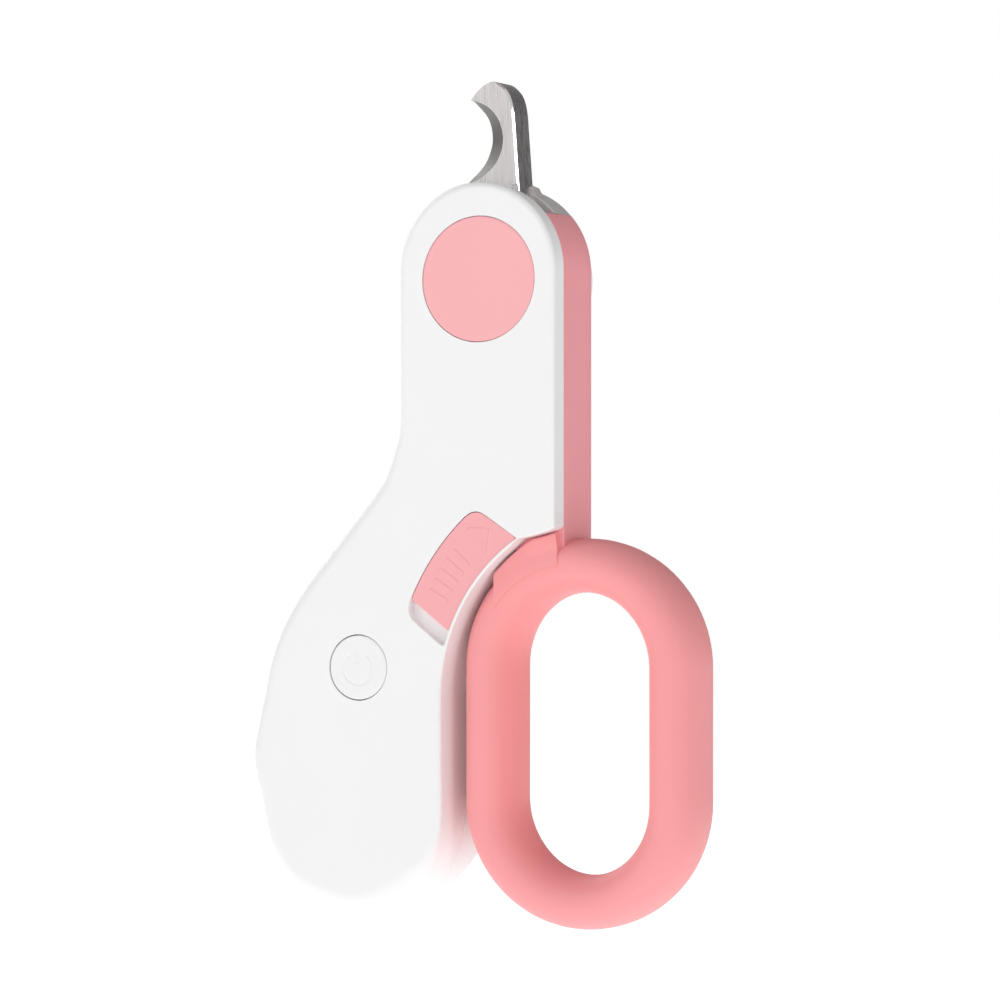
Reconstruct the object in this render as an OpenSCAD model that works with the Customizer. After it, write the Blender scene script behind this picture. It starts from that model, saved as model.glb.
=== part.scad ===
// Scissor nail clipper for pets: a white two-part handle with a light, and a pink lever with a finger
// loop, joined by one pivot. Millimetres. Origin: where the pivot axis meets the flat back of the closed
// tool. +Z runs up to the blade tips, +X to the finger loop's side, and -Y out of the front face. Depths in
// the modules are given from the mid-plane, and mid_y moves them into this frame.

/* [Handle] */
// Full thickness of the handle
handle_t = 16; // [15:0.5:18]
// Wall thickness of both handle shells
wall = 1.6; // [1.2:0.1:2]
// Radius of the rounded outer edges of the handle
edge_r = 2.6; // [1.5:0.1:3]
// Half width of the neck on the side away from the loop
neck_left = 13.4; // [13:0.1:14]
// Half width of the neck on the side of the loop
neck_right = 12.3; // [12:0.1:12.6]
// Thickness of the handle's layer in front of the blades
neck_layer_t = 3.15; // [3:0.05:3.3]

/* [Pivot] */
// Radius of the round cap over the pivot
cap_r = 9.1; // [8:0.1:9.2]
// Radius of the pivot bolt's shaft
bolt_r = 2.5; // [2:0.1:2.6]
// Radial running clearance of the moving parts on the bolt
run_fit = 0.05; // [0.02:0.01:0.1]

/* [Blades] */
// Thickness of each blade
blade_t = 2.3; // [2:0.1:2.35]
// Radius of the cutting notch
notch_r = 6.3; // [5.9:0.1:6.4]
// Height of the blade tips above the pivot
tip_z = 28.9; // [28:0.1:30]

/* [Lever and finger loop] */
// X of the loop's centre
loop_x = 14; // [13.8:0.1:15]
// Z of the loop's centre
loop_z = -66.05; // [-66.5:0.05:-66]
// Centreline radius of the loop's two ends
loop_r = 14.75; // [14:0.05:15]
// Half length of the loop's straight sides
loop_half = 9.7; // [9.5:0.1:10.5]
// Width of the loop's tube, seen from the front
tube_w = 7.9; // [7:0.1:8.2]
// Depth of the loop's tube, front to back
tube_d = 12.7; // [12:0.1:14]
// Inner edge of the lever's arm beside the neck
arm_left = 1; // [0.5:0.1:3]
// Top of the lever's rim beside the blades
rim_top = 9.5; // [8:0.1:9.6]

/* [Lock and button] */
// Travel of the lock slider about its arc's centre, in degrees
lock_travel = 3.4; // [2.5:0.1:3.6]
// Radius of the power button
button_r = 4.75; // [4:0.05:5]
// Travel of the power button
button_travel = 0.5; // [0.3:0.05:0.55]

/* [Hidden] */
$fn = 64;
eps = 0.01;
front = -handle_t / 2;
back = handle_t / 2;
mid_y = -handle_t / 2;
layer_back = front + neck_layer_t;
lever_back = back;

// Stack of layers along the pivot, front to back
fixed_y = layer_back;
moving_y = fixed_y + blade_t + 0.1;
hub_y = moving_y + blade_t;
hub_floor = 1.3;
cap_t = 0.8;
head_t = 1.4;
head_r = 4;

// Arch at the top of the neck
arch_x = (neck_right - neck_left) / 2;
arch_r = (neck_right + neck_left) / 2;
arch_z = 1.3;

// Centre of the cutting notch, as [x, z]
notch_at = [-6.8, 20.74];

// Lever hub, and the gap between it and the back shell
hub_r = 13.5;
hub_gap = 0.55;
spring_room_r = 10;
rear_cap_r = 10.9;

// Arc that the lock slider runs on, and that shapes the handle's edge beside the loop
lock_x = 21.5;
lock_z = -61.3;
edge_arc_r = 27.75;
edge_arc_end = 127;
shoulder_r = 38.2;
slider_in = 28.2;
slider_out = 35.7;
slider_a = [122.9, 159.2, 129.4, 154.6];
slider_top = front + 0.05;
slider_t = 1.3;
pocket_floor = 1.2;
slot_in = 30.6;
slot_out = 33.2;
clip_a = [139, 150.5, 139, 150.5];

// Lower end of the room that the shells leave for the lever's arm
web_gap_z = -39.6;

// Places of the small parts, as [x, z]
button_at = [-19.9, -56.8];
cell_at = [-22, -78];
door_screw_at = [-22, -69.4];
case_screws_at = [[-8.6, -27.5], [-31, -55.5], [-12.2, -79]];
fixed_pins_at = [[-6.5, 3], [6.5, 3]];
moving_pins_at = [[-6.5, -3], [6.5, -3]];
board_at = [-20, -57.5];
board_w = 13;
board_h = 19;
board_y = -2.2;
spring_post_at = [-6.4, -19];
led_at = [4.75, 11.22];
lens_w = 0.7;
cell_r = 3.95;
cell_t = 3.6;
cell_count = 3;

// Left side and bottom of the handle, from the neck down and round to the loop's side
side_points = [
    [-neck_left, 6], [-neck_left, 1.3], [-neck_left, -9], [-neck_left, -20.5], [-14.2, -24.7],
    [-16.2, -29.3], [-19.7, -33.7], [-24.6, -39.4], [-29.6, -45.3], [-33.3, -51], [-35.4, -56.3],
    [-36.6, -62.1], [-37.9, -67.2], [-38.5, -71], [-37.4, -76.6], [-35.4, -84.2], [-32, -88.7],
    [-27.1, -91.7], [-21, -93.2], [-15.4, -91.9], [-10.7, -88.8], [-7.6, -84.7], [-6.25, -79],
    [-6.25, -70], [-6.25, -61.3]];

// ---------------------------------------------------------------- helpers

// Point at t on the smooth curve through p1 and p2
function curve_point(p0, p1, p2, p3, t) =
    0.5 * (2 * p1 + (p2 - p0) * t + (2 * p0 - 5 * p1 + 4 * p2 - p3) * t * t
        + (3 * p1 - p0 - 3 * p2 + p3) * t * t * t);

// Smooth curve through all points but the first and the last, n steps to a span
function smooth(p, n = 3) =
    [for (i = [1 : len(p) - 3]) for (k = [0 : n - 1])
        curve_point(p[i - 1], p[i], p[i + 1], p[i + 2], k / n)];

// Arc of n + 1 points about [cx, cz]
function arc(cx, cz, r, a0, a1, n) =
    [for (k = [0 : n]) [cx + r * cos(a0 + (a1 - a0) * k / n), cz + r * sin(a0 + (a1 - a0) * k / n)]];

// Outline moved inwards by d; the outline runs anticlockwise
function inset(p, d) =
    let (n = len(p))
    [for (i = [0 : n - 1])
        let (t = p[(i + 1) % n] - p[(i + n - 1) % n], l = norm(t))
        p[i] + d * [-t[1], t[0]] / l];

// Outline of the whole handle, anticlockwise as seen from the front
handle_outline = concat(
    smooth(side_points),
    arc(lock_x, lock_z, edge_arc_r, 180, edge_arc_end, 10),
    arc(0, 0, shoulder_r, -80, -71.3, 3),
    [[neck_right, -33], [neck_right, -20], [neck_right, -8]],
    arc(arch_x, arch_z, arch_r, 0, 172, 20));

// Flat shape drawn in X and Z, made solid between two Y values
module slab(y0, y1) {
    translate([0, mid_y + y1, 0])
        rotate([90, 0, 0])
            linear_extrude(y1 - y0)
                children();
}

// Rod along Y at [x, z]
module rod(at, r, y0, y1, sides = 48) {
    slab(y0, y1)
        translate(at)
            circle(r, $fn = sides);
}

// Slab of an outline with its outer edge rounded at the face, in steps
module soft_slab(outline, face, inner, r) {
    steps = 4;
    side = face < inner ? 1 : -1;
    for (k = [0 : steps - 1]) {
        d0 = r * (1 - cos(90 * k / steps));
        d1 = k == steps - 1 ? abs(inner - face) : r * (1 - cos(90 * (k + 1) / steps));
        cut = r * (1 - sin(90 * (k + 0.5) / steps));
        y0 = face + side * d0;
        y1 = face + side * d1;
        slab(min(y0, y1), max(y0, y1))
            polygon(inset(outline, cut));
    }
}

// Round wire of radius r along a list of points
module wire(path, r, sides = 8) {
    n = len(path);
    rings = [for (i = [0 : n - 1])
        let (a = path[max(i - 1, 0)], b = path[min(i + 1, n - 1)],
            t = (b - a) / norm(b - a),
            u0 = cross(t, [0, 1, 0]), u = u0 / norm(u0), v = cross(u, t))
        for (k = [0 : sides - 1])
            path[i] + [0, mid_y, 0] + r * (cos(360 * k / sides) * u + sin(360 * k / sides) * v)];
    walls = [for (i = [0 : n - 2]) for (k = [0 : sides - 1])
        [i * sides + k, i * sides + (k + 1) % sides, (i + 1) * sides + (k + 1) % sides, (i + 1) * sides + k]];
    start = [for (k = [sides - 1 : -1 : 0]) k];
    end = [for (k = [0 : sides - 1]) (n - 1) * sides + k];
    polyhedron(points = rings, faces = concat(walls, [start, end]), convexity = 6);
}

// Band between two arcs about the lock's centre; a = inner start, inner end, outer start, outer end
module lock_band(r_in, r_out, a) {
    polygon(concat(
        arc(lock_x, lock_z, r_out, a[2], a[3], 10),
        arc(lock_x, lock_z, r_in, a[1], a[0], 10)));
}

// Part of the handle's plan that is clear of the lever at every angle
module behind_neck() {
    difference() {
        polygon(inset(handle_outline, 0));
        circle(hub_r + hub_gap);
        translate([-neck_left - 1, 0])
            square([2 * neck_left, 20]);
        translate([arm_left - 0.4, web_gap_z])
            square([20, 60]);
    }
}

// ---------------------------------------------------------------- handle

// Hollow half of the handle between y_face and the parting plane
module shell_half(face) {
    side = face < 0 ? 1 : -1;
    inner = face + side * wall;
    difference() {
        intersection() {
            soft_slab(handle_outline, face, 0, edge_r);
            slab(-back - 1, back + 1)
                behind_neck();
        }
        slab(min(inner, side), max(inner, side))
            intersection() {
                polygon(inset(handle_outline, wall));
                difference() {
                    translate([-60, -120])
                        square([100, 106.2]);
                    circle(hub_r + hub_gap + wall);
                    translate([arm_left - 0.4 - wall, web_gap_z - wall])
                        square([20, 60]);
                }
            }
    }
}

module front_shell() {
    color("white")
    difference() {
        union() {
            shell_half(front);
            // Layer in front of the blades and the lever
            intersection() {
                soft_slab(handle_outline, front, layer_back, edge_r);
                slab(front - 1, back) {
                    translate([-30, -33])
                        square([60, 60]);
                    translate([-1.2, -40])
                        square([20, 10]);
                }
            }
            // Floor under the lock slider
            slab(front + slider_t, front + slider_t + 0.1 + pocket_floor)
                intersection() {
                    polygon(inset(handle_outline, 0.1));
                    lock_band(edge_arc_r - 1, slider_out + 1.6, [118, 166, 126, 162]);
                }
            // Posts for the screws and the circuit board
            for (at = case_screws_at)
                rod(at, 2.3, front + wall - eps, -0.05);
            for (dx = [-4.6, 4.6])
                rod([board_at[0] + dx, board_at[1] - 7.6], 1.3, front + wall - eps, board_y - 0.02);
        }
        // Pocket and slot for the lock slider
        slab(front - 1, front + slider_t + 0.1)
            lock_band(slider_in - 0.15, slider_out + 0.2,
                [slider_a[0] - 0.6, slider_a[1] + lock_travel + 0.8,
                    slider_a[2] - 0.4, slider_a[3] + lock_travel + 0.3]);
        slab(front, front + 4)
            lock_band(slot_in, slot_out, [138.4, 153.4, 138.4, 153.4]);
        // Recess for the pivot cap, and pockets for the bolt
        rod([0, 0], cap_r + 0.1, front - 1, front + cap_t);
        rod([0, 0], head_r + 0.1, front, front + cap_t + head_t + 0.1);
        rod([0, 0], bolt_r + run_fit, front, 1);
        for (at = fixed_pins_at)
            rod(at, 1.02, front + 1.35, 1);
        // Hole for the power button
        rod(button_at, button_r + 0.15, front - 1, front + 4);
        // Pilot holes for the screws
        for (at = case_screws_at)
            rod(at, 0.9, front + wall + 0.9, 1);
        // Groove for the light's leads, and its seat
        slab(layer_back - 1.5, layer_back + eps) {
            polygon(concat(arc(0, 0, 11.85, 64, 180, 20), arc(0, 0, 9.75, 180, 64, 20)));
            translate([-11.85, -34])
                square([2.1, 34.1]);
        }
        rod(led_at, 1.15, layer_back - 1.9, layer_back + eps);
        slab(layer_back - 1.2, layer_back + eps)
            translate([led_at[0] - lens_w / 2 - 0.1, led_at[1]])
                square([lens_w + 0.2, 6]);
    }
}

module rear_shell() {
    color("white")
    difference() {
        union() {
            shell_half(back);
            for (at = case_screws_at)
                rod(at, 3.1, 0.05, back - wall + eps);
            rod(door_screw_at, 2.3, 2.6, back - 1.2);
            rod(spring_post_at, 2.2, 6.15, back - wall + eps);
        }
        // Window that the fixed leg of the spring passes through
        slab(4, back - wall)
            translate([-9.6, -17])
                square([5.4, 8]);
        for (at = case_screws_at) {
            rod(at, 1, -1, back);
            rod(at, 2, 5, back + 1);
        }
        rod(door_screw_at, 0.9, 3.2, back + 1);
        rod(spring_post_at, 0.8, 1, back - wall + 0.35);
        // Recess for the battery door, and the opening under it
        slab(back - 1.2, back + 1)
            translate([cell_at[0] - 7.6, cell_at[1] - 6.6])
                square([15.2, 18.2]);
        slab(0, back)
            translate([cell_at[0] - 6, cell_at[1] - 5])
                square([12, 10.6]);
    }
}

module pivot_cap() {
    color("lightpink")
        rod([0, 0], cap_r, front + 0.02, front + cap_t - 0.02, 96);
}

module power_button() {
    color("whitesmoke") {
        rod(button_at, button_r, front + 0.02, front + wall + 0.1, 64);
        rod(button_at, button_r + 0.8, front + wall + 0.1, front + wall + 0.5, 64);
    }
}

module case_screws() {
    color("silver")
    for (at = case_screws_at) {
        difference() {
            rod(at, 1.85, 5.02, 6.3);
            slab(5.7, 7)
                translate(at) {
                    square([2.4, 0.5], center = true);
                    square([0.5, 2.4], center = true);
                }
        }
        rod(at, 0.85, -5, 5.03);
    }
}

// ---------------------------------------------------------------- light

module circuit_board() {
    color("seagreen")
        slab(board_y, board_y + 1)
            translate(board_at)
                square([board_w, board_h], center = true);
}

module tact_switch() {
    color("dimgray") {
        slab(-5, board_y)
            translate(button_at)
                square([6, 6], center = true);
        rod(button_at, 1.6, -5.35, -4.98);
    }
}

module resistor() {
    color("black")
        slab(board_y - 0.6, board_y)
            translate([board_at[0] - 2, board_at[1] + 6.2])
                square([3.2, 1.6]);
}

module led() {
    color("khaki")
        slab(layer_back - 1.75, layer_back - 0.1)
            translate(led_at)
                square([1.7, 1.25], center = true);
}

module light_lens() {
    color("white")
        slab(layer_back - 1.1, layer_back - 0.1)
            translate([led_at[0] - lens_w / 2, led_at[1] + 0.7])
                square([lens_w, 1.95]);
}

module led_leads() {
    color("firebrick")
    for (r = [10.35, 11.2])
        wire(concat(
            [for (a = [73 : 10.7 : 180]) [r * cos(a), -5.6, r * sin(a)]],
            [[-r, -5.6, -12], [-r, -5.6, -24], [-r, -5.6, -33.5], [-r - 0.5, -5.4, -36], [-r - 3.4, -4.6, -42],
                [-r - 4.6, -3.2, -47], [-r - 4.8, board_y - 0.4, -50.5]]),
            0.35);
}

module button_cells() {
    color("silver")
    for (k = [0 : cell_count - 1]) {
        y0 = -5.4 + k * (cell_t + 0.02);
        rod(cell_at, cell_r - 0.5, y0, y0 + 0.6);
        rod(cell_at, cell_r, y0 + 0.6, y0 + cell_t);
    }
}

module battery_contacts() {
    color("goldenrod") {
        rod(cell_at, 2.6, -5.8, -5.42);
        slab(-5.8, -5.45)
            translate([cell_at[0] - 1.2, cell_at[1]])
                square([2.4, 10.8]);
        rod(cell_at, 2.6, 5.5, 5.9);
        slab(5.5, 5.9)
            translate([cell_at[0] - 5.2, cell_at[1] - 1.2])
                square([5, 2.4]);
    }
}

module battery_door() {
    color("white")
    difference() {
        slab(back - 1.15, back)
            translate([cell_at[0] - 7.5, cell_at[1] - 6.5])
                square([15, 18]);
        rod(door_screw_at, 1, 0, back + 1);
        rod(door_screw_at, 1.8, back - 0.75, back + 1);
    }
}

module door_screw() {
    color("silver")
    difference() {
        union() {
            rod(door_screw_at, 1.7, back - 0.73, back - 0.1);
            rod(door_screw_at, 0.85, 3.4, back - 0.7);
        }
        slab(back - 0.4, back)
            translate(door_screw_at) {
                square([2.2, 0.45], center = true);
                square([0.45, 2.2], center = true);
            }
    }
}

// ---------------------------------------------------------------- pivot

module pivot_bolt() {
    color("silver") {
        rod([0, 0], head_r, front + cap_t, front + cap_t + head_t);
        rod([0, 0], bolt_r, front + cap_t + head_t - eps, 6);
    }
}

module pivot_washer() {
    color("silver")
    difference() {
        rod([0, 0], 4.3, 4.45, 4.75);
        rod([0, 0], bolt_r + 0.03, 4, 5);
    }
}

module pivot_nut() {
    color("silver")
    difference() {
        rod([0, 0], 4, 4.78, 6.3, 6);
        rod([0, 0], bolt_r + 0.02, 4, 7);
    }
}

module pivot_bush() {
    color("goldenrod")
    difference() {
        rod([0, 0], 3.9, hub_y + 0.05, 4.4);
        rod([0, 0], bolt_r + run_fit, hub_y - 1, 5);
    }
}

module return_spring() {
    turns = 3.5;
    steps = 20;
    mean_r = 6.4;
    y0 = 1.9;
    pitch = 1.05;
    y1 = y0 + pitch * turns;
    post_side = spring_post_at[0] - 1.3;
    color("silver")
        wire(concat(
            [[mean_r, y0, -7.1], [mean_r, y0, -3.7]],
            [for (k = [0 : turns * steps])
                [mean_r * cos(360 * k / steps), y0 + pitch * k / steps, mean_r * sin(360 * k / steps)]],
            [[-mean_r, y1, -6], [-mean_r - 0.4, y1, -12], [post_side, y1, -17.5],
                [post_side, y1, spring_post_at[1] - 1.8]]),
            0.45);
}

module spring_post() {
    color("silver")
        rod(spring_post_at, 0.75, 3.4, back - wall + 0.3);
}

// ---------------------------------------------------------------- blades

// Steel heel at the top of the lever, seen from the front, smaller by g
module heel_plan(g) {
    intersection() {
        translate([arch_x, arch_z])
            circle(arch_r - g);
        translate([3 + g, rim_top + 0.1 + g])
            square([10, 6]);
    }
}

// Blade above the pivot, with the notch open towards -X and a stem that ends stem_x beside the pivot
module blade_outline(stem_x) {
    difference() {
        union() {
            circle(9.4);
            polygon(concat(
                [[stem_x + 2, 6], [stem_x, 11.7], [4.8, 12.3], [4.4, 14.1]],
                smooth([[4.3, 16], [3.95, 21.4], [3.7, 24.4], [3.1, 26.7], [2, 28.3], [0.7, tip_z],
                    [-0.8, 28.5], [-2.2, 27.25], [-2.75, 26.4], [-2.7, 26]], 4),
                [[-2.75, 26.4], [-3, 26], [-3.9, 14.8], [-5, 14], [-7, 12.2], [-8.2, 9], [-7, 2]]));
        }
        translate(notch_at)
            circle(notch_r);
    }
}

module fixed_blade() {
    color("lightgray")
    difference() {
        slab(fixed_y, fixed_y + blade_t)
            blade_outline(4);
        rod([0, 0], bolt_r + run_fit, -8, 2);
        for (at = fixed_pins_at)
            rod(at, 1.02, -8, 2);
    }
}

module fixed_blade_pins() {
    color("gray")
    for (at = fixed_pins_at)
        rod(at, 1, front + 1.4, fixed_y + blade_t - 0.1);
}

module moving_blade() {
    color("lightgray")
    difference() {
        union() {
            slab(moving_y, moving_y + blade_t)
                blade_outline(5);
            // Heel that fills the top of the lever beside the blade
            slab(hub_y - 1, lever_back)
                heel_plan(0.02);
        }
        rod([0, 0], rear_cap_r + 0.1, lever_back - 0.8, 9);
        rod([0, 0], bolt_r + run_fit, -8, 2);
        for (at = moving_pins_at)
            rod(at, 1.02, -8, 2);
    }
}

module moving_blade_pins() {
    color("gray")
    for (at = moving_pins_at)
        rod(at, 1, moving_y + 0.1, hub_y + hub_floor - 0.1);
}

// ---------------------------------------------------------------- lever

// Oval section of the finger loop's tube, w wide and d deep
module tube_section(w, d) {
    polygon([for (k = [0 : 19]) [w / 2 * cos(18 * k), d / 2 * sin(18 * k)]]);
}

// Closed oval loop with the given tube section
module loop_solid(w, d) {
    translate([loop_x, mid_y, loop_z]) {
        for (side = [-1, 1]) {
            translate([0, 0, side * loop_half])
                rotate([90, side > 0 ? 0 : 180, 0])
                    rotate_extrude(angle = 180)
                        translate([loop_r, 0])
                            tube_section(w, d);
            translate([side * loop_r, 0, -loop_half])
                linear_extrude(2 * loop_half)
                    tube_section(w, d);
        }
    }
}

// Hole through the finger loop, grown by g
module loop_hole(g) {
    for (side = [-1, 1])
        translate([loop_x, loop_z + side * loop_half])
            circle(loop_r - tube_w / 2 + g);
    translate([loop_x - loop_r + tube_w / 2 - g, loop_z - loop_half])
        square([2 * (loop_r - tube_w / 2 + g), 2 * loop_half]);
}

// Web that joins the arm to the top left of the loop
module web_plan() {
    difference() {
        intersection() {
            translate([lock_x, lock_z])
                circle(edge_arc_r - 0.4, $fn = 120);
            translate([1.3, -50])
                square([neck_right - 1.4, 14]);
        }
        circle(shoulder_r + 0.3, $fn = 120);
        loop_hole(tube_w / 2 + 1);
    }
}

// Side arm and hub, seen from the front
module arm_plan() {
    translate([arch_x, arch_z])
        circle(arch_r);
    difference() {
        circle(hub_r);
        translate([6, -20])
            square([20, 40]);
    }
    polygon([[arm_left, arch_z], [arm_left, -39], [4.5, -39], [4.5, -43], [neck_right, -43],
        [neck_right, arch_z]]);
}

// Part of the arm that reaches forward beside the blades, clear of the fixed blade
module rim_plan() {
    difference() {
        intersection() {
            arm_plan();
            union() {
                translate([8.6, -50])
                    square([10, 50 + rim_top]);
                translate([arm_left - 1, -50])
                    square([20, 39.4]);
            }
        }
        circle(10);
    }
}

module lever_arm() {
    color("pink")
    difference() {
        union() {
            // Hub and arm behind the blades
            slab(hub_y, lever_back)
                arm_plan();
            // Rim of the arm beside the blades
            slab(layer_back + 0.1, hub_y + 0.5)
                rim_plan();
            slab(-5.4, 5.4)
                web_plan();
        }
        // Room for the blade's heel
        slab(hub_y - 1, 9)
            heel_plan(0);
        // Room for the finger loop
        slab(-8, 8)
            loop_hole(tube_w / 2 + 0.6);
        slab(5.4, 9)
            loop_hole(tube_w + 0.1);
        // Spring room, rear cap, bush, bolt and pins
        rod([0, 0], spring_room_r, hub_y + hub_floor, 9);
        rod([0, 0], rear_cap_r + 0.1, lever_back - 0.8, 9);
        rod([0, 0], 3.95, hub_y - 1, 9);
        for (at = moving_pins_at)
            rod(at, 1.02, hub_y - 1, 9);
        // Window that the fixed leg of the spring swings in
        slab(hub_y + hub_floor, 6.5)
            polygon([[0, 0], [-14.2, -6], [-14.2, -16], [-1.5, -16]]);
    }
}

module finger_loop() {
    color("pink")
    difference() {
        loop_solid(tube_w, tube_d);
        slab(-5.5, 5.5)
            difference() {
                union() {
                    web_plan();
                    translate([4.4, -43.1])
                        square([8, 6]);
                }
                loop_hole(tube_w / 2 + 0.6);
            }
    }
}

module rear_cap() {
    color("white")
        rod([0, 0], rear_cap_r, lever_back - 0.78, lever_back, 96);
}

// ---------------------------------------------------------------- lock

module lock_slider() {
    color("pink") {
        slab(slider_top, slider_top + slider_t - 0.05)
            lock_band(slider_in, slider_out, slider_a);
        slab(slider_top + slider_t - 0.06, front + slider_t + pocket_floor + 0.2)
            lock_band(slot_in + 0.1, slot_out - 0.1, [139.2, 149.2, 139.2, 149.2]);
    }
}

module slider_clip() {
    color("white")
        slab(front + slider_t + pocket_floor + 0.22, front + slider_t + pocket_floor + 1.2)
            lock_band(slot_in - 1, slot_out + 1.4, clip_a);
}

front_shell();
rear_shell();
pivot_cap();
rear_cap();
pivot_bolt();
pivot_nut();
pivot_washer();
pivot_bush();
fixed_blade();
fixed_blade_pins();
moving_blade();
moving_blade_pins();
lever_arm();
finger_loop();
return_spring();
spring_post();
lock_slider();
slider_clip();
power_button();
tact_switch();
circuit_board();
resistor();
led();
light_lens();
led_leads();
button_cells();
battery_contacts();
battery_door();
door_screw();
case_screws();
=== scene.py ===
# Looks of the scissor nail clipper: a white handle with a lit blade area, and a pink lever with a finger
# loop. The shapes are worked out in millimetres in the CAD model's frame (X to the loop's side, Z up the
# neck, -Y out of the front face) and become metres when their meshes are made.
import math

import bmesh
import bpy
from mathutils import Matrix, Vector


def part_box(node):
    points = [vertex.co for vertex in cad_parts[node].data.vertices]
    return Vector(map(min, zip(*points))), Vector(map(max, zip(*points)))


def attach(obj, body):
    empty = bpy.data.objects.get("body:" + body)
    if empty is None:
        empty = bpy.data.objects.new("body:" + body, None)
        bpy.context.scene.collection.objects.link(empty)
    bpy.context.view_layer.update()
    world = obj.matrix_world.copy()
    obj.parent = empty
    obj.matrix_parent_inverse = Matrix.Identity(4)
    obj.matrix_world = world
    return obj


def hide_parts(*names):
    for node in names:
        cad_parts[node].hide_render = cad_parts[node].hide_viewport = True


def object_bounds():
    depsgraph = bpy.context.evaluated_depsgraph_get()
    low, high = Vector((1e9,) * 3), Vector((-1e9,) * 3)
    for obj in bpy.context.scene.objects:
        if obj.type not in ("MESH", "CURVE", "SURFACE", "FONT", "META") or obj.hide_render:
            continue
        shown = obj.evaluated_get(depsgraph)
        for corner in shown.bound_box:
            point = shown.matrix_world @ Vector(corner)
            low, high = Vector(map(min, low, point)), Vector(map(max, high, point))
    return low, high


MM = 0.001
# How far a piece stays inside its CAD node
CLEAR = 0.02

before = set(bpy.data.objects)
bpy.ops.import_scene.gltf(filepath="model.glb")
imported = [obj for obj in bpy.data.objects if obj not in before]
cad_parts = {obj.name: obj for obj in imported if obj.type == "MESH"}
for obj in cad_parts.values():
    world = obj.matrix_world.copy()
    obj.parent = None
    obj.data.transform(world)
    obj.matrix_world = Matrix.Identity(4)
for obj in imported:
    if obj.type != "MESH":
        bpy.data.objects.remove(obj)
cad_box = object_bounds()


# ---------------------------------------------------------------- sizes, from the frame

def box_mm(node):
    """Lowest and highest corner of a CAD node, in millimetres."""
    low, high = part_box(node)
    return [x / MM for x in low], [x / MM for x in high]


FIXED_LOW, FIXED_HIGH = box_mm("fixed_blade")
MOVING_LOW, MOVING_HIGH = box_mm("moving_blade")
CAP_LOW, CAP_HIGH = box_mm("pivot_cap")
BUTTON_LOW, BUTTON_HIGH = box_mm("power_button")
SLIDER_LOW, SLIDER_HIGH = box_mm("lock_slider")
LOOP_LOW, LOOP_HIGH = box_mm("finger_loop")
DOOR_LOW, DOOR_HIGH = box_mm("battery_door")
REAR_CAP_LOW, REAR_CAP_HIGH = box_mm("rear_cap")
LENS_LOW, LENS_HIGH = box_mm("light_lens")

# Handle: depths, the neck with its round top, and the wall
FRONT = box_mm("front_shell")[0][1]
BACK = box_mm("rear_shell")[1][1]
MID = (FRONT + BACK) / 2
NECK_LEFT, NECK_RIGHT = -13.4, 12.3
ARCH_X, ARCH_Z = (NECK_LEFT + NECK_RIGHT) / 2, 1.3
ARCH_R = (NECK_RIGHT - NECK_LEFT) / 2
WALL = 1.6
WALL_INSET = WALL + 0.2
SHOULDER_R = 38.2
CORNER_R = 0.8
# Half of the parting line, and the small rounding beside it
PARTING, PARTING_R = 0.05, 0.12

# Lever: the layer behind the fixed blade, the hub and the arm
LAYER_BACK = FIXED_LOW[1]
BLADE_T = FIXED_HIGH[1] - FIXED_LOW[1]
HUB_FRONT = MOVING_LOW[1] + BLADE_T
HUB_R, HUB_GAP = 13.5, 0.55
ARM_LEFT, ARM_GAP = 1.0, 0.4
ARM_EDGE_R = 4.7
ARM_BOTTOM, ARM_BOTTOM_LEFT = -43, -39
HEEL_X, HEEL_Z = 3.0, 9.6
REAR_RECESS_R, REAR_RECESS_T = 11, 0.8

# Lock: an arc about its own centre; angles are the inner start and end and the outer start and end
LOCK_X, LOCK_Z = 21.5, -61.3
EDGE_ARC_R = 27.75
SLIDER_IN, SLIDER_OUT = 28.2, 35.7
SLIDER_ANGLES = [122.9, 159.2, 128.3, 155.8]
SLIDER_T = 1.3
LOCK_TRAVEL = 3.4
# Ribs and chevron on the slider: how far they stand out, and how deep their feet reach in
RAISED_BY, RAISED = 0.07, 0.2

# Button, seen from the front
BUTTON_AT = ((BUTTON_LOW[0] + BUTTON_HIGH[0]) / 2, (BUTTON_LOW[2] + BUTTON_HIGH[2]) / 2)
BUTTON_FLANGE = 0.8
BUTTON_R = (BUTTON_HIGH[0] - BUTTON_LOW[0]) / 2 - BUTTON_FLANGE

# Finger loop: a tube along an oval; fullness 2 would be an ellipse
TUBE_W = 7.9
TUBE_D = LOOP_HIGH[1] - LOOP_LOW[1]
TUBE_FULLNESS = 2.25
LOOP_X = (LOOP_LOW[0] + LOOP_HIGH[0]) / 2
LOOP_Z = (LOOP_LOW[2] + LOOP_HIGH[2]) / 2
LOOP_R = (LOOP_HIGH[0] - LOOP_LOW[0] - TUBE_W) / 2
LOOP_HALF = (LOOP_HIGH[2] - LOOP_LOW[2] - TUBE_W) / 2 - LOOP_R

# Blades: their notch where the grinding starts on the outer face, and where it ends on the mating face
NOTCH_OUTER = [
    (-4.2, 26.7), (-2.6, 26.3), (-0.9, 25.75), (0.6, 24.75), (1.9, 23), (2.47, 20.7), (2.15, 18.6),
    (1.05, 16.64), (-0.9, 15.04), (-2.6, 14.25), (-4.1, 13.5), (-7, 11.9)]
NOTCH_EDGE = [
    (-4.6, 27.4), (-3.45, 26.35), (-2.3, 25.3), (-1.2, 24), (-0.6, 22.6), (-0.36, 20.9), (-0.57, 19.37),
    (-1.35, 17.5), (-2.5, 16.1), (-3.8, 14.95), (-4.9, 13.95), (-7.4, 11.8)]
TIP_Z = MOVING_HIGH[2]
STRIP, FINE_CHAMFER = 0.26, 0.03

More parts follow.
